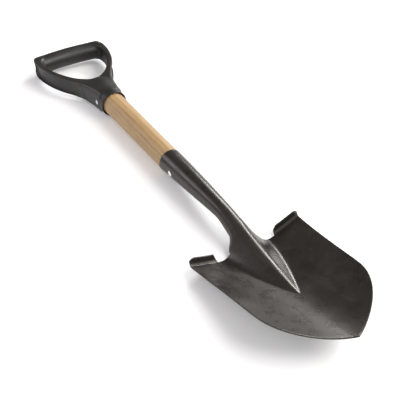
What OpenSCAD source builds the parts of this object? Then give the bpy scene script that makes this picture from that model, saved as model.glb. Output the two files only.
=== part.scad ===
// Short D-grip round-point spade, lying on its back with the hollow of the blade up.
// Units: millimetres. Frame: origin at the bottom centre of the bounding box,
// +X from the D-grip towards the blade tip, +Z up out of the hollow (front) face.

/* [Overall] */
// Distance from the grip bar axis to the blade tip
reach = 672; // [660:1:690]
// Radius of the wooden shaft where it leaves the ferrule
shaft_r_top = 16.5; // [15.8:0.1:16.5]
// Radius of the wooden shaft where its shoulder meets the socket
shaft_r_low = 15.5; // [15:0.1:15.9]

/* [Blade] */
// Pressed sheet thickness
sheet = 1.6; // [1.4:0.1:2]
// Half width at the shoulders
half_w = 75.2; // [72:0.1:79]
// Half width where the sides turn into the point
half_w_low = 68.2; // [65:0.1:71.5]
// How far the rims stand above the middle at the shoulders
dish = 19.3; // [15:0.1:21]
// Height of the turned step above the sheet
step_h = 10.2; // [8:0.1:12]
// Inner bend radius of the turned step
step_bend = 4.2; // [3:0.1:4.6]

/* [Socket] */
// Station of the socket mouth
x_mouth = 322; // [316:1:328]

/* [Grip] */
// Radius of the hand bar
bar_r = 13.7; // [12.5:0.1:14.2]
// Station of the ferrule mouth
x_ferrule = 165; // [162:1:168]
// Outer radius of the ferrule
ferrule_r = 19.5; // [19.3:0.1:20]
// Radius of the ferrule bore
bore_r = 16.7; // [16.6:0.05:16.9]

/* [Rivets] */
// Radius of the rivet pins
rivet_r = 2.4; // [1.8:0.1:2.8]
// Radius of the rivet heads
head_r = 4.2; // [3.6:0.1:5]

/* [Hidden] */
black = [0.10, 0.10, 0.105];
wood = [0.80, 0.62, 0.40];
zinc = [0.80, 0.80, 0.78];
bar_x = -1.1;             // station of the middle of the bowed bar
bow_r = 312;              // radius of the bar's bow
tip_over = 0.55;          // how far the underside runs past the front face at the tip
mid_x = (reach + tip_over + bar_x - bar_r) / 2;
rest_z = ferrule_r;       // the ferrule and the blade's heel touch the floor
x_row = 493;              // the line where neck and blade meet
x_side = 590;             // end of the straight sides
x_step = 490.2;           // front face of the turned step
y_root = 22.5;            // half width of the neck where it joins the blade
y_notch = 40.2;           // outer wall of the notch
heel_z = -22.75;          // middle line of the blade at the row, without the ridge
shoulder_x = x_mouth - 0.4;  // end of the full-size shaft, against the socket's mouth
tilt = 2.13;              // slope of the socket and of the shaft's tapered end
end_r = [15.9 - sheet, 10.6 - sheet];  // radii of the tapered end, clear of the socket's inside
end_len = 90;             // length of the tapered end
ferrule_bore_x = 120;     // bottom of the ferrule's bore
hollow_r = 9.4;           // hollow ends of the hand bar
hollow_x = 1.4;           // station of the hollows' axis
dish_soft = 16;           // half width of the round middle of the dish
ridge_len = 95;           // length of the ridge on the blade
ridge_w = 33;             // half width of the ridge's foot at the neck
corner_r = 10.2;          // rounded outer corner of a step
step_lean = 3.6;          // how far the step's notch edge leans outwards
tube_mouth = 16.2;        // outer radius of the socket at its mouth
crest_mouth = 16.4;       // height of the socket's top line at its mouth
x_waist = 447;            // narrowest station of the neck
waist_soft = 8;           // length over which the waist's bend is rounded
tube_flare = 0.145;       // how fast the neck widens past the waist
crest_dive = 0.14;        // how fast the top line drops past the waist
row_bend = 430;           // station from which the neck's rows lie closer
nc = 12;                  // columns over half the neck
nn = 5;                   // columns over the notch floor
ns = 8;                   // columns over one step
na = nc + nn + ns;
ru = 28;                  // rows over socket and neck
rb = 26;                  // rows over the blade
rl = 6;                   // rows over a step
x_rivet_s = x_mouth + 25.7;  // rivet through the socket
z_rivet_s = 1.5;             // its height over the shaft's axis
x_rivet_g = x_ferrule - 18.7; // rivet through the ferrule
seat_s = 15.5;               // where its heads sit on the socket
seat_g = 18.9;               // where its heads sit on the ferrule

function clamp(a, lo, hi) = min(hi, max(lo, a));
function mix(a, b, k) = a + (b - a) * k;
function ease(k) = let (q = clamp(k, 0, 1)) q * q * (3 - 2 * q);

// ---------- blade sheet ----------
// A taper that steepens slowly, then a soft bend at the waist: the tube flares and the crest dives
function past_waist(x) = let (t = x - x_waist) (t + sqrt(t * t + waist_soft * waist_soft)) / 2;
function crest_z(x) = let (s = max(0, x - x_mouth))
    crest_mouth + 0.014 * s - 0.00021 * s * s - crest_dive * past_waist(x);
function tube_r(x) = let (s = max(0, x - x_mouth))
    tube_mouth - 0.0345 * s - 0.00012 * s * s + tube_flare * past_waist(x);
function wrap_a(x) = mix(176, 108, ease((x - 405) / 65));
function back_z(x) = let (s = max(0, x - x_row)) heel_z + 0.174 * s + 0.00035 * s * s;
function dish_at(x) = dish + 1.9 * ease((x - 495) / 80);
function ridge_h(x) = x <= x_row ? crest_z(x) - heel_z
    : (crest_z(x_row) - heel_z) * pow(max(0, 1 - (x - x_row) / ridge_len), 1.3);
function ridge_b(x) = 0.6 + ridge_w * (1 - pow(clamp((x - x_row + 3) / (ridge_len + 3), 0, 1), 1.7));
function bump(q) = q >= 1 ? 0 : (1 + cos(180 * q)) / 2;
// the dish's rise across the blade, round in the middle
function across(y) = pow(y * y + dish_soft * dish_soft, 0.775) - pow(dish_soft, 1.55);
function sheet_z(x, y) = back_z(x) + dish_at(x) * across(y) / across(75)
    + ridge_h(x) * bump(abs(y) / ridge_b(x));

function col_y(k) = k <= nc ? y_root * k / nc
    : k <= nc + nn ? mix(y_root, y_notch, (k - nc) / nn)
    : mix(y_notch, half_w, (k - nc - nn) / ns);
function col_x(k) = k <= nc ? x_row
    : k <= nc + nn ? mix(x_row, x_step + step_bend, (k - nc) / nn)
    : x_step + step_bend;
function end_x(k) = x_side + (reach - x_side)
    * pow(max(0, 1 - pow(col_y(k) / half_w, 1 / 0.9)), 1 / 2.25);

function row_x(i) = i <= 10 ? mix(x_mouth, row_bend, i / 10) : mix(row_bend, x_row, (i - 10) / (ru - 10));

function pt_blade(i, j) = let (u = (i - ru) / rb, k = abs(j), s = sign(j),
    y = col_y(k) * (mix(1, half_w_low / half_w, u) - 0.008 * sin(180 * u)), x = mix(col_x(k), end_x(k), u))
    [x, s * y, sheet_z(x, y)];
function pt_neck(i, j) = let (x = row_x(i), t = j / nc, r = tube_r(x), a = wrap_a(x) * t,
    m = ease((x - 474) / (x_row - 474)), yb = y_root * t)
    [x, mix(r * sin(a), yb, m), mix(crest_z(x) - r + r * cos(a), sheet_z(x, yb), m)];
// the step: a quarter bend, then straight up, ending at a rounded outer corner
function step_top(y) = let (q = clamp((y - half_w + corner_r) / (corner_r + 0.4), 0, 0.97))
    step_h * sqrt(1 - pow(q, 2.2));
function quarter() = step_bend * PI / 2;
function step_len(top) = top > step_bend ? quarter() + top - step_bend
    : step_bend * acos(1 - top / step_bend) * PI / 180;
function pt_step(i, j) = let (y0 = col_y(abs(j)), s = step_len(step_top(y0)) * (ru - i) / rl,
    a = min(90, s / step_bend * 180 / PI), h = step_bend * (1 - cos(a)) + max(0, s - quarter()),
    lean = step_lean * h / step_h * (half_w - y0) / (half_w - y_notch))
    [x_step + step_bend * (1 - sin(a)), sign(j) * (y0 + lean), sheet_z(x_step + step_bend, y0) + h];
function pt(i, j) = i >= ru ? pt_blade(i, j) : abs(j) <= nc ? pt_neck(i, j) : pt_step(max(i, ru - rl), j);

// cell (i, j) spans rows i..i+1 and columns j..j+1
function cell(i, j) = (i < 0 || i >= ru + rb || j < -na || j >= na) ? false
    : i >= ru ? true
    : (j >= -nc && j < nc) ? true
    : i >= ru - rl && (j >= nc + nn || j < -nc - nn);
function has(i, j) = cell(i, j) || cell(i - 1, j) || cell(i, j - 1) || cell(i - 1, j - 1);

module pressed_sheet() {
    cols = 2 * na + 1;
    rows = ru + rb + 1;
    top = [for (i = [0 : rows - 1]) [for (j = [-na : na]) pt(i, j)]];
    // a neighbour counts only when a cell joins the two points
    function up(i, j) = cell(i - 1, j) || cell(i - 1, j - 1);
    function dn(i, j) = cell(i, j) || cell(i, j - 1);
    function lf(i, j) = cell(i, j - 1) || cell(i - 1, j - 1);
    function rt(i, j) = cell(i, j) || cell(i - 1, j);
    function nrm(i, j) = let (c = j + na,
        a = top[dn(i, j) ? i + 1 : i][c] - top[up(i, j) ? i - 1 : i][c],
        b = top[i][rt(i, j) ? c + 1 : c] - top[i][lf(i, j) ? c - 1 : c],
        n = cross(a, b)) n / max(norm(n), 1e-6);
    low = [for (i = [0 : rows - 1]) [for (j = [-na : na])
        has(i, j) ? top[i][j + na] - sheet * nrm(i, j) : top[i][j + na]]];
    pts = concat([for (r = top) each r], [for (r = low) each r]);
    function id(i, j) = i * cols + j + na;
    o = rows * cols;
    faces = [for (i = [0 : rows - 2]) for (j = [-na : na - 1]) if (cell(i, j))
        let (a = id(i, j), b = id(i, j + 1), c = id(i + 1, j + 1), d = id(i + 1, j))
        each concat(
            j < 0 ? [[a, b, c], [a, c, d], [c + o, b + o, a + o], [d + o, c + o, a + o]]
                  : [[a, b, d], [b, c, d], [d + o, b + o, a + o], [d + o, c + o, b + o]],
            cell(i - 1, j) ? [] : [[a, a + o, b + o], [a, b + o, b]],
            cell(i + 1, j) ? [] : [[c, c + o, d + o], [c, d + o, d]],
            cell(i, j - 1) ? [] : [[d, d + o, a + o], [d, a + o, a]],
            cell(i, j + 1) ? [] : [[b, b + o, c + o], [b, c + o, c]])];
    polyhedron(points = pts, faces = faces, convexity = 12);
}

module blade() {
    color(black)
    resize([0, 0, 0])
    difference() {
        pressed_sheet();
        cross_hole(x_rivet_s, z_rivet_s);
    }
}

// ---------- shaft ----------
module along_x(x, slope = 0) { translate([x, 0, 0]) rotate([0, 90 - slope, 0]) children(); }
module cross_hole(x, z) {
    translate([x, 0, z]) rotate([90, 0, 0]) cylinder(r = rivet_r + 0.1, h = 60, center = true, $fn = 48);
}
module shaft() {
    color(wood)
    difference() {
        union() {
            along_x(ferrule_bore_x + 1) cylinder(r1 = shaft_r_top - 1, r2 = shaft_r_top, h = 2, $fn = 96);
            along_x(ferrule_bore_x + 3)
                cylinder(r = shaft_r_top, h = x_ferrule - ferrule_bore_x - 3, $fn = 96);
            along_x(x_ferrule)
                cylinder(r1 = shaft_r_top, r2 = shaft_r_low, h = shoulder_x - x_ferrule, $fn = 96);
            // reduced end inside the socket
            along_x(shoulder_x - 0.2, tilt) cylinder(r1 = end_r[0], r2 = end_r[1], h = end_len, $fn = 96);
        }
        cross_hole(x_rivet_s, z_rivet_s);
        cross_hole(x_rivet_g, 0);
    }
}

// ---------- grip ----------
// outer and inner outline of one arm, half height and recess depth, section by section
arm = [
    [[-8, 50.5], [-4, 40], 8, 0.3],
    [[-1.5, 56], [3, 42], 12, 0.3],
    [[13, 59], [15, 48], 13, 4.5],
    [[33, 57.5], [30, 49], 13, 3.5],
    [[55, 52], [48, 45.5], 13, 3],
    [[75, 43.5], [67, 37.5], 13, 3],
    [[92, 34], [85, 26], 13, 2.5],
    [[110, 25.5], [99, 11], 14, 1.5],
    [[126, 21], [106, -1], 14.5, 0.3],
    [[146, 17], [140, -1], 13.5, 0.3]];

function cr(p, q, r, s, t) = 0.5 * ((2 * q) + (r - p) * t + (2 * p - 5 * q + 4 * r - s) * t * t
    + (3 * q - p - 3 * r + s) * t * t * t);
function arm_at(f, c) = let (n = len(arm) - 1, i = min(n - 1, floor(f)), t = f - i)
    cr(arm[max(0, i - 1)][c], arm[i][c], arm[i + 1][c], arm[min(n, i + 2)][c], t);
// points of the section: inner edge, lower flange, recess, and the same again mirrored
function section(f) = let (o = arm_at(f, 0), n = arm_at(f, 1), h = arm_at(f, 2), d = max(0.3, arm_at(f, 3)),
    w = norm(o - n), e = (o - n) / w, c = min(4, w / 3), g = 1.2 + 7.5 * ease((f - 6) / 2), l = g + 2,
    low = [[0, c - h], [c * 0.3, 0.3 * c - h], [c, -h], [w - g, -h], [w - 0.3 * g, 0.3 * g - h],
        [w, g - h], [w, l - h], [w - d, l + 1.2 - h]],
    p = concat(low, [for (k = [len(low) - 1 : -1 : 0]) [low[k][0], -low[k][1]]]))
    [for (q = p) [n[0] + e[0] * q[0], n[1] + e[1] * q[0], q[1]]];

module arm_body() {
    m = 4 * (len(arm) - 1);
    s = [for (k = [0 : m]) section(k / 4)];
    g = len(s[0]);
    polyhedron(points = [for (r = s) each r],
        faces = concat(
            [[for (k = [0 : g - 1]) k]],
            [for (i = [0 : m - 1]) for (k = [0 : g - 1]) let (l = (k + 1) % g)
                each [[i * g + l, i * g + k, i * g + g + k], [i * g + l, i * g + g + k, i * g + g + l]]],
            [[for (k = [g - 1 : -1 : 0]) m * g + k]]), convexity = 8);
}

module grip() {
    color(black)
    resize([0, 0, 0])
    difference() {
        union() {
            // hand bar, bowed slightly away from the blade
            translate([bow_r + bar_x, 0, 0]) rotate([0, 0, 180 - 9.7])
                rotate_extrude(angle = 19.4, $fn = 400) translate([bow_r, 0]) circle(r = bar_r, $fn = 48);
            arm_body();
            mirror([0, 1, 0]) arm_body();
            ferrule();
        }
        along_x(ferrule_bore_x) cylinder(r = bore_r, h = x_ferrule - ferrule_bore_x + 1, $fn = 96);
        // hollow ends of the hand bar
        for (s = [-1, 1]) translate([hollow_x, s * 50, 0]) rotate([90, 0, 0])
            cylinder(r = hollow_r, h = 26, center = true, $fn = 40);
        cross_hole(x_rivet_g, 0);
    }
}

// ferrule with a slightly belled mouth
module ferrule() {
    rotate([0, 90, 0]) rotate_extrude($fn = 64)
        polygon([[0, 103], [8, 103], [12.5, 105.5], [15.8, 110], [17.9, 116], [18.9, 124], [19, 134],
            [18.7, x_ferrule - 17], [18.9, x_ferrule - 9],
            [ferrule_r, x_ferrule - 4], [ferrule_r, x_ferrule - 1],
            [ferrule_r - 1, x_ferrule], [0, x_ferrule]]);
}

// ---------- rivets ----------
module rivet(seat) {
    half = [[head_r * 0.55, seat + 1.35], [head_r * 0.88, seat + 0.7], [head_r, seat], [rivet_r, seat]];
    rotate([90, 0, 0]) rotate_extrude($fn = 48)
        polygon(concat([[0, seat + 1.6]], half, [for (k = [3 : -1 : 0]) [half[k][0], -half[k][1]]],
            [[0, -seat - 1.6]]));
}
module grip_rivet() { color(zinc) translate([x_rivet_g, 0, 0]) rivet(seat_g); }
module socket_rivet() { color(zinc) translate([x_rivet_s, 0, z_rivet_s]) rivet(seat_s); }

module place() { translate([-mid_x, 0, rest_z]) children(); }

place() blade();
place() shaft();
place() grip();
place() grip_rivet();
place() socket_rivet();
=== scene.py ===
"""Looks for the short D-grip spade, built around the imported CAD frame. Lengths are in metres."""
import math

import bpy
import numpy as np
from mathutils import Euler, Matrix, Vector


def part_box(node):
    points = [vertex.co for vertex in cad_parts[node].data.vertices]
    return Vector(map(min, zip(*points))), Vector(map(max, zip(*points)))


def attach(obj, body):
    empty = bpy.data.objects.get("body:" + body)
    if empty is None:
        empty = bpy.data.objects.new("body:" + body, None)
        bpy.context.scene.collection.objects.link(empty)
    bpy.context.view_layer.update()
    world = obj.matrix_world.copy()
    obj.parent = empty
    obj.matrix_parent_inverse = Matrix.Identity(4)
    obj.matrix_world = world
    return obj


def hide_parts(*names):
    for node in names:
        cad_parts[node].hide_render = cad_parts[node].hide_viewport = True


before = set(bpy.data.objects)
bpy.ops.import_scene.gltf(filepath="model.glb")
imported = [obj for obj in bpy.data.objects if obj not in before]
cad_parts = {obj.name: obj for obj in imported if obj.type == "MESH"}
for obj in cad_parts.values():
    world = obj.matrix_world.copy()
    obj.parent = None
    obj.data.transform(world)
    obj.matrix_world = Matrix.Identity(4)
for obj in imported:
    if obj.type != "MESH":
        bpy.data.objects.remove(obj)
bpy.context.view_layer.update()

MM = 0.001
BLADE_HI = np.array(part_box("blade")[1])
SHAFT_LO = np.array(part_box("shaft")[0])
GRIP_LO, GRIP_HI = (np.array(c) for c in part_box("grip"))

# The design works in millimetres along the shaft: station 0 is the hand bar, the axis is y = z = 0.
BAR_R = 13.7
BAR_X = -1.1            # station of the middle of the bowed hand bar
AXIS_Z = (GRIP_HI[2] + GRIP_LO[2]) / 2
ORIGIN = np.array([GRIP_LO[0] + (BAR_R - BAR_X) * MM, 0.0, AXIS_Z])
TIP_OVER = 0.5          # how far the sheet's underside runs past its front face at the tip
REACH = (BLADE_HI[0] - ORIGIN[0]) / MM - TIP_OVER


# ---------------------------------------------------------------- small tools

def ease(k):
    """Smooth step from 0 to 1."""
    q = np.clip(k, 0.0, 1.0)
    return q * q * (3 - 2 * q)


def mix(a, b, k):
    return a + (b - a) * k


def smooth_curve(knots):
    """A smooth function through (station, value) knots: cubic pieces with slopes that never overshoot."""
    xs, ys = (np.array(c, float) for c in zip(*knots))
    step = np.diff(xs)
    rise = np.diff(ys) / step
    slope = np.zeros(len(xs))
    slope[0], slope[-1] = rise[0], rise[-1]
    for i in range(1, len(xs) - 1):
        if rise[i - 1] * rise[i] > 0:
            w0, w1 = 2 * step[i] + step[i - 1], step[i] + 2 * step[i - 1]
            slope[i] = (w0 + w1) / (w0 / rise[i - 1] + w1 / rise[i])

    def value(x):
        x = np.clip(x, xs[0], xs[-1])
        i = np.clip(np.searchsorted(xs, x) - 1, 0, len(step) - 1)
        t = (x - xs[i]) / step[i]
        h = step[i]
        return ((2 * t**3 - 3 * t**2 + 1) * ys[i] + (t**3 - 2 * t**2 + t) * h * slope[i]
                + (3 * t**2 - 2 * t**3) * ys[i + 1] + (t**3 - t**2) * h * slope[i + 1])
    return value


def catmull(points, steps):
    """Points on a Catmull-Rom curve through the given points."""
    p = np.array(points, float)
    p = np.vstack([2 * p[0] - p[1], p, 2 * p[-1] - p[-2]])
    out = []
    for i in range(1, len(p) - 2):
        a, b, c, d = p[i - 1:i + 3]
        for t in np.arange(steps) / steps:
            out.append(0.5 * (2 * b + (c - a) * t + (2 * a - 5 * b + 4 * c - d) * t * t
                              + (3 * b - a - 3 * c + d) * t**3))
    out.append(p[-2])
    return np.array(out)


def add_mesh(name, verts_mm, faces, material, node):
    """A piece from design-space millimetres that stands for one CAD node."""
    mesh = bpy.data.meshes.new(name)
    verts = np.asarray(verts_mm) * MM + ORIGIN
    mesh.from_pydata(verts.tolist(), [], faces)
    mesh.validate()
    mesh.update()
    mesh.polygons.foreach_set("use_smooth", [True] * len(mesh.polygons))
    obj = bpy.data.objects.new(name, mesh)
    bpy.context.scene.collection.objects.link(obj)
    obj.data.materials.append(material)
    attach(obj, "root")
    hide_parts(node)
    return obj


# ---------------------------------------------------------------- materials

class Nodes:
    """Short hands for a node tree."""

    def __init__(self, name):
        self.material = bpy.data.materials.new(name)
        self.material.use_nodes = True
        self.tree = self.material.node_tree
        self.tree.nodes.clear()
        self.out = self.add("ShaderNodeOutputMaterial")
        self.shader = self.add("ShaderNodeBsdfPrincipled")
        self.link(self.shader.outputs[0], self.out.inputs["Surface"])
        self.coord = self.add("ShaderNodeTexCoord").outputs["Object"]

    def add(self, kind, **values):
        node = self.tree.nodes.new(kind)
        for key, value in values.items():
            setattr(node, key, value)
        return node

    def link(self, a, b):
        self.tree.links.new(a, b)

    def stretched(self, scale, turn=(0, 0, 0), shift=(0, 0, 0)):
        node = self.add("ShaderNodeMapping")
        node.inputs["Scale"].default_value = scale
        node.inputs["Rotation"].default_value = turn
        node.inputs["Location"].default_value = shift
        self.link(self.coord, node.inputs["Vector"])
        return node.outputs[0]

    def noise(self, vector, scale, detail=3.0, rough=0.5, distortion=0.0):
        node = self.add("ShaderNodeTexNoise")
        node.inputs["Scale"].default_value = scale
        node.inputs["Detail"].default_value = detail
        node.inputs["Roughness"].default_value = rough
        node.inputs["Distortion"].default_value = distortion
        self.link(vector, node.inputs["Vector"])
        return node.outputs["Fac"]

    def ramp(self, fac, stops, interpolation="EASE"):
        node = self.add("ShaderNodeValToRGB")
        ramp = node.color_ramp
        ramp.interpolation = interpolation
        while len(ramp.elements) < len(stops):
            ramp.elements.new(0.5)
        for element, (place, colour) in zip(ramp.elements, stops):
            element.position = place
            grey = isinstance(colour, (int, float))
            element.color = (colour,) * 3 + (1,) if grey else tuple(colour) + (1,)
        self.link(fac, node.inputs[0])
        return node.outputs["Color"]

    def blend(self, a, b, fac, mode="MIX"):
        node = self.add("ShaderNodeMix", data_type="RGBA", blend_type=mode)
        for socket, value in ((node.inputs[0], fac), (node.inputs[6], a), (node.inputs[7], b)):
            if isinstance(value, bpy.types.NodeSocket):
                self.link(value, socket)
            elif isinstance(value, (int, float)):
                socket.default_value = value
            else:
                socket.default_value = tuple(value) + (1,)
        return node.outputs[2]

    def spread(self, value, low, high, start=0.0, end=1.0):
        node = self.add("ShaderNodeMapRange")
        for key, number in (("From Min", start), ("From Max", end), ("To Min", low), ("To Max", high)):
            node.inputs[key].default_value = number
        self.link(value, node.inputs["Value"])
        return node.outputs[0]

    def math(self, kind, a, b=0.0):
        node = self.add("ShaderNodeMath", operation=kind)
        for socket, value in ((node.inputs[0], a), (node.inputs[1], b)):
            if isinstance(value, bpy.types.NodeSocket):
                self.link(value, socket)
            else:
                socket.default_value = value
        return node.outputs[0]

    def bump(self, height, distance, strength=1.0, normal=None):
        node = self.add("ShaderNodeBump")
        node.inputs["Strength"].default_value = strength
        node.inputs["Distance"].default_value = distance
        self.link(height, node.inputs["Height"])
        if normal is not None:
            self.link(normal, node.inputs["Normal"])
        return node.outputs[0]


def black_paint():
    """Satin black enamel on pressed steel: fine orange peel, faint mottling, small dust specks."""
    n = Nodes("black_paint")
    plain = n.coord
    cloud = n.noise(plain, 34, 5, 0.6)
    smear = n.noise(n.stretched((0.45, 1.0, 1.0)), 90, 4, 0.55, 0.6)
    base = n.ramp(cloud, [(0.30, (0.010, 0.0092, 0.0080)), (0.52, (0.0165, 0.0150, 0.0130)),
                          (0.74, (0.025, 0.0228, 0.0198))])
    base = n.blend(base, (0.038, 0.035, 0.031), n.spread(smear, 0.0, 0.55, 0.52, 0.80))
    speck = n.noise(plain, 760, 1, 0.4)
    base = n.blend(base, (0.16, 0.155, 0.145), n.spread(speck, 0.0, 0.8, 0.76, 0.82))
    n.link(base, n.shader.inputs["Base Color"])
    rough = n.spread(n.noise(plain, 60, 4, 0.6), 0.23, 0.35, 0.3, 0.7)
    n.link(rough, n.shader.inputs["Roughness"])
    n.shader.inputs["Specular IOR Level"].default_value = 0.5
    n.shader.inputs["Specular Tint"].default_value = (1.0, 0.95, 0.88, 1)
    peel = n.noise(plain, 620, 2, 0.5)
    wave = n.noise(plain, 46, 2, 0.5)
    normal = n.bump(peel, 0.00006, 0.20)
    normal = n.bump(wave, 0.0006, 0.14, normal)
    n.link(normal, n.shader.inputs["Normal"])
    return n.material


def ash_wood():
    """Varnished ash: rings round a pith beside the shaft, short dark pores, a browner streak."""
    n = Nodes("ash_wood")
    bend = n.noise(n.stretched((2.2, 16, 16)), 1.0, 3, 0.5)
    rings_at = n.stretched((0.9, 30, 30), (0, 0.02, 0.035), (0, 1.15, 0.5))
    wave = n.add("ShaderNodeTexWave", wave_type="RINGS", rings_direction="X", wave_profile="SAW")
    for key, value in (("Scale", 2.1), ("Distortion", 2.4), ("Detail", 3.0), ("Detail Scale", 1.1),
                       ("Detail Roughness", 0.55)):
        wave.inputs[key].default_value = value
    n.link(rings_at, wave.inputs["Vector"])
    ring = n.ramp(wave.outputs["Fac"], [(0.0, (0.40, 0.27, 0.11)), (0.35, (0.45, 0.31, 0.13)),
                                        (0.80, (0.31, 0.19, 0.08)), (0.95, (0.19, 0.10, 0.05))])
    tone = n.ramp(bend, [(0.32, (0.29, 0.18, 0.10)), (0.50, (0.40, 0.27, 0.12)),
                         (0.70, (0.48, 0.34, 0.14))])
    colour = n.blend(ring, tone, 0.50)
    streak = n.noise(n.stretched((3.0, 95, 95)), 1.0, 3, 0.5, 0.3)
    colour = n.blend(colour, (0.22, 0.12, 0.06), n.spread(streak, 0.0, 0.75, 0.52, 0.70))
    drift = n.noise(n.stretched((2.0, 26, 26), shift=(0, 0.4, 0.2)), 1.0, 1, 0.4)
    colour = n.blend(colour, (0.40, 0.25, 0.14), n.spread(drift, 0.0, 0.45, 0.42, 0.62))
    pores = n.noise(n.stretched((55, 1300, 1300)), 1.0, 1, 0.4)
    pore = n.spread(pores, 0.0, 0.55, 0.60, 0.72)
    colour = n.blend(colour, (0.17, 0.09, 0.04), pore)
    n.link(colour, n.shader.inputs["Base Color"])
    n.link(n.spread(streak, 0.46, 0.60, 0.3, 0.7), n.shader.inputs["Roughness"])
    n.shader.inputs["Coat Weight"].default_value = 0.12
    n.shader.inputs["Coat Roughness"].default_value = 0.25
    fibre = n.noise(n.stretched((30, 700, 700)), 1.0, 2, 0.5)
    normal = n.bump(fibre, 0.00010, 0.35)
    normal = n.bump(n.math("MULTIPLY", pore, -1.0), 0.00012, 0.5, normal)
    n.link(normal, n.shader.inputs["Normal"])
    return n.material


def moulded_plastic():
    """Satin black moulded plastic with a fine grain and gloss that varies a little at random."""
    n = Nodes("moulded_plastic")
    cloud = n.noise(n.coord, 28, 4, 0.55)
    base = n.ramp(cloud, [(0.30, (0.010, 0.0094, 0.0088)), (0.70, (0.018, 0.0170, 0.0156))])
    n.link(base, n.shader.inputs["Base Color"])
    n.link(n.spread(n.noise(n.coord, 45, 3, 0.6), 0.36, 0.50, 0.3, 0.7), n.shader.inputs["Roughness"])
    n.shader.inputs["IOR"].default_value = 1.49
    n.shader.inputs["Specular IOR Level"].default_value = 0.42
    grain = n.noise(n.coord, 1500, 2, 0.6)
    sink = n.noise(n.coord, 38, 2, 0.5)
    normal = n.bump(grain, 0.00005, 0.5)
    normal = n.bump(sink, 0.0006, 0.18, normal)
    n.link(normal, n.shader.inputs["Normal"])
    return n.material


def zinc():
    """Bright zinc-plated rivet: slightly uneven gloss and small hammer marks."""
    n = Nodes("zinc")
    n.shader.inputs["Metallic"].default_value = 1.0
    tint = n.noise(n.coord, 900, 3, 0.6)
    n.link(n.ramp(tint, [(0.3, (0.62, 0.63, 0.64)), (0.7, (0.84, 0.84, 0.83))]),
           n.shader.inputs["Base Color"])
    n.link(n.spread(n.noise(n.coord, 1600, 2, 0.5), 0.22, 0.42, 0.3, 0.7), n.shader.inputs["Roughness"])
    n.link(n.bump(n.noise(n.coord, 420, 1, 0.4), 0.00015, 0.5), n.shader.inputs["Normal"])
    return n.material


# ---------------------------------------------------------------- pressed blade, ridge and socket

SHEET = 1.6            # sheet thickness
RIM = 0.45             # how far the rounded edge stands out past the sheet's faces
X_MOUTH = 322.0        # socket mouth
X_ROW = 493.0          # where the neck meets the blade
X_SIDE = 590.0         # end of the straight sides
X_STEP = 490.2         # front face of the turned step
HALF_W = 75.2 - RIM    # half width at the shoulders
HALF_LOW = 68.2 - RIM  # half width at the end of the straight sides
Y_ROOT = 22.5          # half width of the ridge columns
Y_NOTCH = 40.2         # outer wall of the notch
HEEL_Z = -22.75        # middle line of the blade at the row, without the ridge
DISH = 19.3            # how far the rims stand above the middle
DISH_SOFT = 16.0       # half width of the round middle of the dish
STEP_H = 10.2 - RIM    # height of the turned step
STEP_BEND = 4.2
STEP_LEAN = 3.6        # how far the step's notch edge leans outwards
CORNER_R = 10.2        # rounded outer corner of a step
RIDGE_LEN = 95.0
RIDGE_W = 33.0         # half width of the ridge's foot at the neck
TUBE_MOUTH = 16.2      # outer radius of the socket at its mouth
CREST_MOUTH = 16.4     # height of its top line there
X_WAIST = 447.0        # narrowest station of the neck
WAIST_SOFT = 8.0       # length over which the waist's bend is rounded
TUBE_FLARE = 0.145     # how fast the neck widens past the waist
CREST_DIVE = 0.14      # how fast the top line drops past the waist
TUBE_TAPER = (0.0345, 0.00012)   # how fast the socket narrows, and how that steepens
CREST_RISE = (0.014, 0.00021)    # how fast the top line rises, and how it bends back
BACK_RISE = (0.174, 0.00035)     # how fast the middle line rises to the tip, and how it bends up
WRAP = (176, 108)      # degrees the tube closes to each side, at the socket and at the open neck
X_OPENS, OPENS_IN = 405, 65      # where the tube starts to open, and over what length
X_FLAT = 474           # where the neck starts to turn into the blade


def past_waist(x):
    t = x - X_WAIST
    return (t + np.sqrt(t * t + WAIST_SOFT**2)) / 2


def tube_radius(x):
    s = np.maximum(0, x - X_MOUTH)
    return TUBE_MOUTH - TUBE_TAPER[0] * s - TUBE_TAPER[1] * s * s + TUBE_FLARE * past_waist(x)


def crest(x):
    """Height of the ridge's top line over the shaft axis."""
    s = np.maximum(0, x - X_MOUTH)
    return CREST_MOUTH + CREST_RISE[0] * s - CREST_RISE[1] * s * s - CREST_DIVE * past_waist(x)


def wrap_angle(x):
    """How far the tube closes round the shaft, in degrees to each side of its crest."""
    return mix(*WRAP, ease((x - X_OPENS) / OPENS_IN))


def back_line(x):
    """Height of the blade's middle line, without the ridge."""
    s = np.maximum(0, x - X_ROW)
    return HEEL_Z + BACK_RISE[0] * s + BACK_RISE[1] * s * s


def across(y):
    """The dish's rise across the blade, round in the middle."""
    return (y * y + DISH_SOFT**2) ** 0.775 - DISH_SOFT**1.55


def sheet_height(x, y):
    rise = crest(X_ROW) - back_line(X_ROW)
    fall = np.maximum(0, 1 - (x - X_ROW) / RIDGE_LEN) ** 1.3
    high = np.where(x <= X_ROW, crest(x) - back_line(x), rise * fall)
    wide = 0.6 + RIDGE_W * (1 - np.clip((x - X_ROW + 3) / (RIDGE_LEN + 3), 0, 1) ** 1.7)
    q = np.minimum(np.abs(y) / wide, 1)
    dish = (DISH + 1.9 * ease((x - 495) / 80)) * across(y) / across(75)
    return back_line(x) + dish + high * (1 + np.cos(np.pi * q)) / 2


N_ROOT, N_NOTCH, N_STEP = 34, 12, 26   # columns over half the ridge, the notch floor and one step
N_HALF = N_ROOT + N_NOTCH + N_STEP
R_NECK, R_BLADE, R_STEP = 130, 120, 16  # rows over the socket and neck, the blade and a step


def column_y(k):
    k = np.asarray(k, float)
    return np.where(k <= N_ROOT, Y_ROOT * k / N_ROOT,
                    np.where(k <= N_ROOT + N_NOTCH, mix(Y_ROOT, Y_NOTCH, (k - N_ROOT) / N_NOTCH),
                             mix(Y_NOTCH, HALF_W, (k - N_ROOT - N_NOTCH) / N_STEP)))


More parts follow.
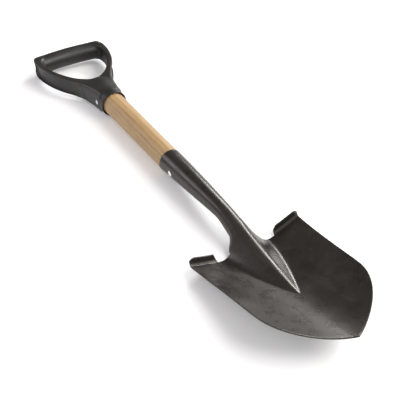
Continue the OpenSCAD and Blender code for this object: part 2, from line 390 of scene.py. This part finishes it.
def column_x(k):
    q = np.clip((np.asarray(k, float) - N_ROOT) / N_NOTCH, 0, 1)
    return mix(X_ROW, X_STEP + STEP_BEND, q)


def column_end(k):
    share = np.clip(column_y(k) / HALF_W, 0, 1)
    return X_SIDE + (REACH - RIM - X_SIDE) * np.maximum(0, 1 - share ** (1 / 0.9)) ** (1 / 2.25)


def blade_points():
    """The front face as one grid of points, and the mask of the cells that exist."""
    rows, cols = R_NECK + R_BLADE + 1, 2 * N_HALF + 1
    j = np.arange(cols) - N_HALF
    k, side = np.abs(j), np.sign(j)
    grid = np.zeros((rows, cols, 3))
    # blade
    u = (np.arange(R_BLADE + 1) / R_BLADE)[:, None]
    y = column_y(k)[None, :] * (mix(1, HALF_LOW / HALF_W, u) - 0.008 * np.sin(math.pi * u))
    x = mix(column_x(k)[None, :], column_end(k)[None, :], u)
    grid[R_NECK:, :, 0], grid[R_NECK:, :, 1] = x, side * y
    grid[R_NECK:, :, 2] = sheet_height(x, y)
    # socket and neck, over the middle columns
    share = np.arange(R_NECK) / R_NECK
    xn = mix(X_MOUTH + RIM, X_ROW, share)[:, None]
    t = (j[N_HALF - N_ROOT:N_HALF + N_ROOT + 1] / N_ROOT)[None, :]
    r, a = tube_radius(xn), np.radians(wrap_angle(xn)) * t
    m = ease((xn - X_FLAT) / (X_ROW - X_FLAT))
    mid = slice(N_HALF - N_ROOT, N_HALF + N_ROOT + 1)
    grid[:R_NECK, mid, 0] = xn
    grid[:R_NECK, mid, 1] = mix(r * np.sin(a), Y_ROOT * t, m)
    grid[:R_NECK, mid, 2] = mix(crest(xn) - r + r * np.cos(a), sheet_height(xn, Y_ROOT * t), m)
    # turned steps: a quarter bend and then straight up, to a rounded outer corner
    quarter = STEP_BEND * math.pi / 2
    for first, last in ((0, N_STEP + 1), (cols - N_STEP - 1, cols)):
        y0 = column_y(k[first:last])
        corner = np.clip((y0 - HALF_W - RIM + CORNER_R) / (CORNER_R + 0.4), 0, 0.97)
        top = STEP_H * np.sqrt(1 - corner**2.2)
        bent = STEP_BEND * np.arccos(np.clip(1 - top / STEP_BEND, -1, 1))
        path = np.where(top > STEP_BEND, quarter + top - STEP_BEND, bent)
        for n in range(1, R_STEP + 1):
            s = path * n / R_STEP
            turn = np.minimum(math.pi / 2, s / STEP_BEND)
            high = STEP_BEND * (1 - np.cos(turn)) + np.maximum(0, s - quarter)
            lean = STEP_LEAN * high / STEP_H * (HALF_W - y0) / (HALF_W - Y_NOTCH)
            grid[R_NECK - n, first:last, 0] = X_STEP + STEP_BEND * (1 - np.sin(turn))
            grid[R_NECK - n, first:last, 1] = side[first:last] * (y0 + lean)
            grid[R_NECK - n, first:last, 2] = sheet_height(X_STEP + STEP_BEND, y0) + high
    cells = np.zeros((rows - 1, cols - 1), bool)
    cells[R_NECK:] = True
    cells[:R_NECK, N_HALF - N_ROOT:N_HALF + N_ROOT] = True
    cells[R_NECK - R_STEP:R_NECK, :N_STEP] = True
    cells[R_NECK - R_STEP:R_NECK, cols - 1 - N_STEP:] = True
    return grid, cells


def thick_sheet(grid, cells, thickness, rim, rim_steps=4):
    """Closes a grid surface into a sheet with rounded edges. Gives points and faces."""
    rows, cols = grid.shape[:2]
    at = np.arange(rows * cols).reshape(rows, cols)
    i, j = np.nonzero(cells)
    quads = np.stack([at[i, j], at[i + 1, j], at[i + 1, j + 1], at[i, j + 1]], 1)
    p = grid.reshape(-1, 3)
    face_n = np.cross(p[quads[:, 2]] - p[quads[:, 0]], p[quads[:, 3]] - p[quads[:, 1]])
    normal = np.zeros_like(p)
    for c in range(4):
        np.add.at(normal, quads[:, c], face_n)
    normal /= np.maximum(np.linalg.norm(normal, axis=1, keepdims=True), 1e-9)
    used = np.unique(quads)
    new = -np.ones(len(p), int)
    new[used] = np.arange(len(used))
    count = len(used)
    top = p[used]
    low = top - thickness * normal[used]
    # boundary edges, in the direction in which their one face runs
    edges = np.concatenate([quads[:, [c, (c + 1) % 4]] for c in range(4)])
    seen = {(a, b) for a, b in edges.tolist()}
    border = [(a, b) for a, b in edges.tolist() if (b, a) not in seen]
    outward = np.zeros_like(p)
    for a, b in border:
        out = np.cross(p[b] - p[a], normal[a])
        outward[a] += out
        outward[b] += out
    ring_points = sorted({a for e in border for a in e})
    ring_at = {a: n for n, a in enumerate(ring_points)}
    o = outward[ring_points]
    nn = normal[ring_points]
    o -= nn * np.sum(o * nn, axis=1, keepdims=True)
    o /= np.maximum(np.linalg.norm(o, axis=1, keepdims=True), 1e-9)
    centre = p[ring_points] - nn * thickness / 2
    strips = []
    for s in range(1, rim_steps):
        turn = math.pi * s / rim_steps
        strips.append(centre + nn * (thickness / 2 * math.cos(turn)) + o * (rim * math.sin(turn)))
    verts = np.concatenate([top, low] + strips)
    faces = new[quads].tolist() + (new[quads[:, ::-1]] + count).tolist()

    def ring_vertex(a, s):
        if s == 0:
            return int(new[a])
        if s == rim_steps:
            return int(new[a]) + count
        return 2 * count + (s - 1) * len(ring_points) + ring_at[a]
    for a, b in border:
        for s in range(rim_steps):
            faces.append([ring_vertex(b, s), ring_vertex(a, s), ring_vertex(a, s + 1), ring_vertex(b, s + 1)])
    return verts, faces


def make_blade():
    grid, cells = blade_points()
    verts, faces = thick_sheet(grid, cells, SHEET, RIM)
    return add_mesh("pressed_blade", verts, faces, black_paint(), "blade")


# ---------------------------------------------------------------- moulded grip

BAR_BOW = 4.0           # how far the bar's ends stand in front of its middle, over 50 mm
BAR_END = 53.0
BORE_R = 16.7
X_FERRULE = 165.0
X_BORE = 120.0
LIP_R = 18.2            # the mouth opens a little round the wood
X_LIP = 161.0
X_CHANNEL = 108.0       # where the arms' side channels run out
FLANGE = 2.2            # thickness of the rim beside a channel
POCKET_R, POCKET_X = 9.4, 1.4    # hollow ends of the hand bar
POCKET_FROM = 37        # distance of their bottoms from the middle
OUTER = [(-8, 50.5), (-1.5, 56), (13, 59), (33, 57.5), (55, 52), (75, 43.5), (92, 34), (110, 25.5), (126, 21),
         (140, 18), (152, 16.6)]
INNER = [(3, 42), (15, 48), (30, 49), (48, 45.5), (67, 37.5), (85, 26), (97, 12.5), (102, 4)]
arm_height = smooth_curve([(-12, 6), (-6, 9.5), (0, 12.2), (10, 13), (90, 13.2), (110, 14.2), (130, 15),
                           (152, 14.8)])
recess = smooth_curve([(-12, -4), (4, -4), (15, 4), (33, 3.4), (60, 3), (90, 2.6), (106, 0.8), (112, -4)])
ferrule_r = smooth_curve([(98, 2), (103, 8), (106, 12.7), (110, 15.8), (116, 17.9), (124, 18.9), (134, 19),
                          (148, 18.7), (156, 18.9), (161, 19.42), (165, 19.42)])


def closed_outline(half, start, end):
    """A closed outline, symmetric about the shaft, from one side's curve."""
    curve = catmull(half, 6)
    upper = np.vstack([[start], curve, [end]])
    lower = upper[::-1] * [1, -1]
    return np.vstack([upper, lower])


def outline_distance(x, y, outline):
    """Signed distance in plan to a closed outline, negative inside."""
    best = np.full(x.shape, 1e9)
    inside = np.zeros(x.shape, bool)
    for (ax, ay), (bx, by) in zip(outline, np.roll(outline, -1, axis=0)):
        dx, dy = bx - ax, by - ay
        size = dx * dx + dy * dy
        if size < 1e-9:
            continue
        t = np.clip(((x - ax) * dx + (y - ay) * dy) / size, 0, 1)
        best = np.minimum(best, (x - ax - t * dx) ** 2 + (y - ay - t * dy) ** 2)
        if abs(dy) > 1e-12:
            inside ^= ((ay > y) != (by > y)) & (x < ax + (y - ay) * dx / dy)
    return np.where(inside, -1, 1) * np.sqrt(best)


def union(a, b, k):
    """Smooth union of two distances with a fillet of about k."""
    h = np.clip(0.5 + 0.5 * (b - a) / k, 0, 1)
    return mix(b, a, h) - k * h * (1 - h)


def cut(a, b, k):
    """Takes b out of a, with the edge rounded by about k."""
    return -union(-a, b, k)


def rounded_prism(plan, high, r):
    """Distance to a plate of the given plan distance and half height, with its edges rounded."""
    p, q = plan + r, high + r
    return np.minimum(np.maximum(p, q), 0) + np.hypot(np.maximum(p, 0), np.maximum(q, 0)) - r


OUTER_LINE = closed_outline(OUTER, (-8, 44), (154, 12))
INNER_LINE = closed_outline(INNER, (-30, 38), (103.5, 0))


def grip_field(x, y, z, outer=None, inner=None):
    """Signed distance to the grip, in mm."""
    if outer is None:
        outer = outline_distance(x, y, OUTER_LINE)
        inner = outline_distance(x, y, INNER_LINE)
    side = np.abs(y)
    high = arm_height(x)
    bar_x = BAR_X + BAR_BOW * (y / 50) ** 2
    bar = np.hypot(x - bar_x, z) - BAR_R
    bar = rounded_prism(bar, side - BAR_END, 1.6)
    plan = np.maximum(outer, -inner)
    arms = rounded_prism(plan, np.abs(z) - high, np.clip(0.6 + (x - 60) / 12, 2.2, 5.0))
    body = union(bar, arms, 4.0)
    off_axis = np.hypot(y, z)
    ferrule = (off_axis - ferrule_r(x)) * 0.93
    ferrule = rounded_prism(ferrule, np.abs(x - 131.5) - 33.5, 1.0)
    body = union(body, ferrule, 7.0)
    channel = np.maximum(-(outer + recess(x)), np.abs(z) - (high - FLANGE))
    channel = np.maximum(channel, np.maximum(x + 0.35 * z - X_CHANNEL, 7 - x))
    body = cut(body, channel, 1.2)
    pocket = np.maximum(np.hypot(x - POCKET_X, z) - POCKET_R, POCKET_FROM - side)
    body = cut(body, pocket, 1.4)
    bore = np.maximum(off_axis - BORE_R, X_BORE - x)
    bore = np.minimum(bore, np.maximum(off_axis - LIP_R, X_LIP - x))
    return cut(body, bore, 0.5)


def surface_nets(field, low, pitch):
    """Quads on the zero level of a field on a regular grid."""
    inside = field < 0
    nx, ny, nz = (s - 1 for s in field.shape)

    def corner(array, a, b, c):
        return array[a:nx + a, b:ny + b, c:nz + c]
    corners = [(a, b, c) for a in (0, 1) for b in (0, 1) for c in (0, 1)]
    count = sum(corner(inside, *c).astype(np.int8) for c in corners)
    active = (count > 0) & (count < 8)
    at = np.argwhere(active)
    index = -np.ones(active.shape, int)
    index[active] = np.arange(len(at))
    total, hits = np.zeros((len(at), 3)), np.zeros((len(at), 1))
    for p in range(8):
        for q in range(p + 1, 8):
            a, b = np.array(corners[p]), np.array(corners[q])
            if np.abs(a - b).sum() != 1:
                continue
            fa, fb = field[tuple((at + a).T)], field[tuple((at + b).T)]
            cross = ((fa < 0) != (fb < 0))[:, None]
            t = (fa / np.where(fa == fb, 1, fa - fb))[:, None]
            total += np.where(cross, a + t * (b - a), 0)
            hits += cross
    verts = low + (at + total / hits) * pitch
    faces = []
    for axis in range(3):
        u, v = (axis + 1) % 3, (axis + 2) % 3
        ahead = np.take(inside, range(1, inside.shape[axis]), axis)
        behind = np.take(inside, range(inside.shape[axis] - 1), axis)
        for flip, where in ((False, behind & ~ahead), (True, ahead & ~behind)):
            edge = np.argwhere(where)
            edge = edge[(edge[:, u] > 0) & (edge[:, v] > 0)]
            ring = []
            for du, dv in ((1, 1), (0, 1), (0, 0), (1, 0)):
                cell = edge.copy()
                cell[:, u] -= du
                cell[:, v] -= dv
                ring.append(index[tuple(cell.T)])
            quad = np.stack(ring[::-1] if flip else ring, 1)
            faces.append(quad)
    return verts, np.concatenate(faces)


def make_grip():
    pitch = 0.85
    low = np.array([-16.0, -61.0, -21.0])
    shape = np.ceil((np.array([168.0, 61.0, 21.0]) - low) / pitch).astype(int) + 1
    x, y, z = (low[n] + pitch * np.arange(shape[n]) for n in range(3))
    px, py = np.meshgrid(x, y, indexing="ij")
    outer = outline_distance(px, py, OUTER_LINE)[:, :, None]
    inner = outline_distance(px, py, INNER_LINE)[:, :, None]
    field = grip_field(x[:, None, None], y[None, :, None], z[None, None, :], outer, inner)
    verts, quads = surface_nets(field, low, pitch)
    for _ in range(3):  # settle the points on the true surface
        value = grip_field(*verts.T)
        slope = np.stack([grip_field(*(verts + 0.05 * np.eye(3)[n]).T) - value for n in range(3)], 1) / 0.05
        slope /= np.maximum(np.sum(slope * slope, axis=1, keepdims=True), 0.3)
        verts = verts - np.clip(value, -0.4, 0.4)[:, None] * slope
    return add_mesh("moulded_grip", verts, quads.tolist(), moulded_plastic(), "grip")


# ---------------------------------------------------------------- turned parts

def lathe(profile, sides, start, along, up):
    """Points and faces of a turned solid. The profile is (station, radius), from end to end."""
    along, up = np.array(along, float), np.array(up, float)
    side = np.cross(along, up)
    turn = np.arange(sides) * 2 * math.pi / sides
    circle = np.cos(turn)[:, None] * up + np.sin(turn)[:, None] * side
    verts, faces = [], []
    for station, radius in profile:
        verts.append(np.array(start) + along * station + circle * radius)
    for ring in range(len(profile) - 1):
        for s in range(sides):
            a, b = ring * sides + s, ring * sides + (s + 1) % sides
            faces.append([a, b, b + sides, a + sides])
    last = (len(profile) - 1) * sides
    faces.append(list(range(sides))[::-1])
    faces.append([last + s for s in range(sides)])
    return np.concatenate(verts), faces


SHAFT_R = (16.5, 15.5)  # shaft's radius at the ferrule and at its shoulder
END_R, END_LEN = (14.3, 9.0), 90     # tapered end inside the socket
END_TILT = 2.13         # its slope, in degrees
X_SHAFT = round((SHAFT_LO[0] - ORIGIN[0]) / MM)   # the end in the ferrule
X_SHOULDER = X_MOUTH - 0.4
PIN_R = 2.4             # rivet pins


def make_shaft():
    """The turned shaft, from its end in the ferrule to its shoulder, and the tapered end in the socket."""
    r, low = SHAFT_R
    profile = [(X_SHAFT, r - 1.3), (X_SHAFT + 0.4, r - 0.8), (X_SHAFT + 1.2, r - 0.3), (X_SHAFT + 2.5, r),
               (150, r)]
    profile += [(s, mix(r, low, (s - X_FERRULE) / (X_SHOULDER - X_FERRULE)))
                for s in np.linspace(X_FERRULE, X_SHOULDER - 0.4, 120)]
    verts, faces = lathe(profile + [(X_SHOULDER, low - 0.3)], 96, (0, 0, 0), (1, 0, 0), (0, 0, 1))
    tilt = math.radians(END_TILT)
    along = (math.cos(tilt), 0, math.sin(tilt))
    end = [(s, mix(*END_R, s / END_LEN)) for s in np.linspace(0, END_LEN - 1.4, 20)]
    end += [(END_LEN - 0.4, 8.8), (END_LEN, 8.2)]
    more, caps = lathe(end, 96, (X_SHOULDER - 0.2, 0, 0), along, (-along[2], 0, along[0]))
    faces += [[v + len(verts) for v in f] for f in caps]
    return add_mesh("ash_shaft", np.concatenate([verts, more]), faces, ash_wood(), "shaft")


def make_rivet(name, node, station, height, reach, metal):
    """A cross rivet with two low domed heads, one of them a little flattened by the hammer."""
    dome = [(0.0, 1.55), (1.2, 1.5), (2.2, 1.32), (3.0, 1.02), (3.6, 0.66), (4.0, 0.28), (4.15, 0.02)]
    near = [(-(reach + 0.92 * h), r) for r, h in dome]
    far = [(reach + h, r) for r, h in dome[::-1]]
    pin = [(-reach, PIN_R), (reach, PIN_R)]
    profile = [(near[0][0], 0.05)] + near[1:] + pin + far[:-1] + [(far[-1][0], 0.05)]
    verts, faces = lathe(profile, 48, (station, 0, height), (0, 1, 0), (0, 0, 1))
    return add_mesh(name, verts, faces, metal, node)


# ---------------------------------------------------------------- stage

def make_floor():
    size = 6.0
    mesh = bpy.data.meshes.new("floor")
    corners = [(-size, -size, 0), (size, -size, 0), (size, size, 0), (-size, size, 0)]
    mesh.from_pydata(corners, [], [(0, 1, 2, 3)])
    obj = bpy.data.objects.new("floor", mesh)
    bpy.context.scene.collection.objects.link(obj)
    n = Nodes("pale_floor")
    n.shader.inputs["Base Color"].default_value = (0.86, 0.86, 0.87, 1)
    n.shader.inputs["Roughness"].default_value = 0.9
    n.shader.inputs["Specular IOR Level"].default_value = 0.1
    n.shader.inputs["Emission Color"].default_value = (0.98, 0.98, 1.0, 1)
    n.shader.inputs["Emission Strength"].default_value = 0.16
    mesh.materials.append(n.material)


def area_light(name, place, aim, size, power, colour=(1, 1, 1)):
    data = bpy.data.lights.new(name, "AREA")
    data.shape = "RECTANGLE"
    data.size, data.size_y = size
    data.energy = power
    data.color = colour
    obj = bpy.data.objects.new(name, data)
    obj.location = place
    obj.rotation_euler = (Vector(aim) - Vector(place)).to_track_quat("-Z", "Y").to_euler()
    bpy.context.scene.collection.objects.link(obj)


DARK_SIDE = (-0.85, 0.25, 0.30)   # the studio wall without lamps


def make_light():
    world = bpy.data.worlds.new("studio")
    bpy.context.scene.world = world
    world.use_nodes = True
    tree = world.node_tree
    tree.nodes.clear()
    out = tree.nodes.new("ShaderNodeOutputWorld")
    back = tree.nodes.new("ShaderNodeBackground")
    coord = tree.nodes.new("ShaderNodeTexCoord")
    along = tree.nodes.new("ShaderNodeVectorMath")
    along.operation = "DOT_PRODUCT"
    along.inputs[1].default_value = Vector(DARK_SIDE).normalized()
    ramp = tree.nodes.new("ShaderNodeValToRGB")
    ramp.color_ramp.elements[0].position = 0.0
    ramp.color_ramp.elements[0].color = (1.0, 0.985, 0.96, 1)
    ramp.color_ramp.elements[1].position = 0.75
    ramp.color_ramp.elements[1].color = (0.23, 0.215, 0.195, 1)
    back.inputs["Strength"].default_value = 0.80
    tree.links.new(coord.outputs["Generated"], along.inputs[0])
    tree.links.new(along.outputs["Value"], ramp.inputs[0])
    tree.links.new(ramp.outputs[0], back.inputs["Color"])
    # what the camera sees past the floor's edge is a plain pale wall
    wall = tree.nodes.new("ShaderNodeBackground")
    wall.inputs["Color"].default_value = (1.0, 0.99, 0.98, 1)
    wall.inputs["Strength"].default_value = 0.92
    seen = tree.nodes.new("ShaderNodeLightPath")
    choice = tree.nodes.new("ShaderNodeMixShader")
    tree.links.new(seen.outputs["Is Camera Ray"], choice.inputs[0])
    tree.links.new(back.outputs[0], choice.inputs[1])
    tree.links.new(wall.outputs[0], choice.inputs[2])
    tree.links.new(choice.outputs[0], out.inputs["Surface"])
    area_light("key", (1.1, 1.35, 1.85), (0.05, 0, 0), (1.7, 1.4), 56, (1.0, 0.985, 0.96))
    area_light("rim", (-0.8, 1.75, 1.15), (0.1, 0, 0), (1.2, 0.6), 42)
    area_light("side", (-1.35, -1.2, 0.95), (0.05, 0, 0), (1.0, 0.7), 8, (0.90, 0.86, 1.0))


def make_camera():
    """The viewing angle worked out from the tool's own lines: 57 degrees round, 41 degrees up."""
    data = bpy.data.cameras.new("camera")
    data.sensor_width = 36.0
    data.lens = 58.5
    obj = bpy.data.objects.new("camera", data)
    azimuth, elevation = math.radians(57.29), math.radians(41.30)
    obj.rotation_euler = Euler((math.pi / 2 - elevation, 0, azimuth))
    obj.location = Vector((905.9, -328.5, 518.5)) * MM + Vector(ORIGIN)
    bpy.context.scene.collection.objects.link(obj)
    bpy.context.scene.camera = obj


bpy.context.scene.view_settings.view_transform = "Standard"
make_camera()
make_light()
make_floor()
make_blade()
make_grip()
make_shaft()
rivet_metal = zinc()
make_rivet("grip_rivet_piece", "grip_rivet", 146.3, 0.0, 18.9, rivet_metal)
make_rivet("socket_rivet_piece", "socket_rivet", 347.7, 1.5, 15.5, rivet_metal)
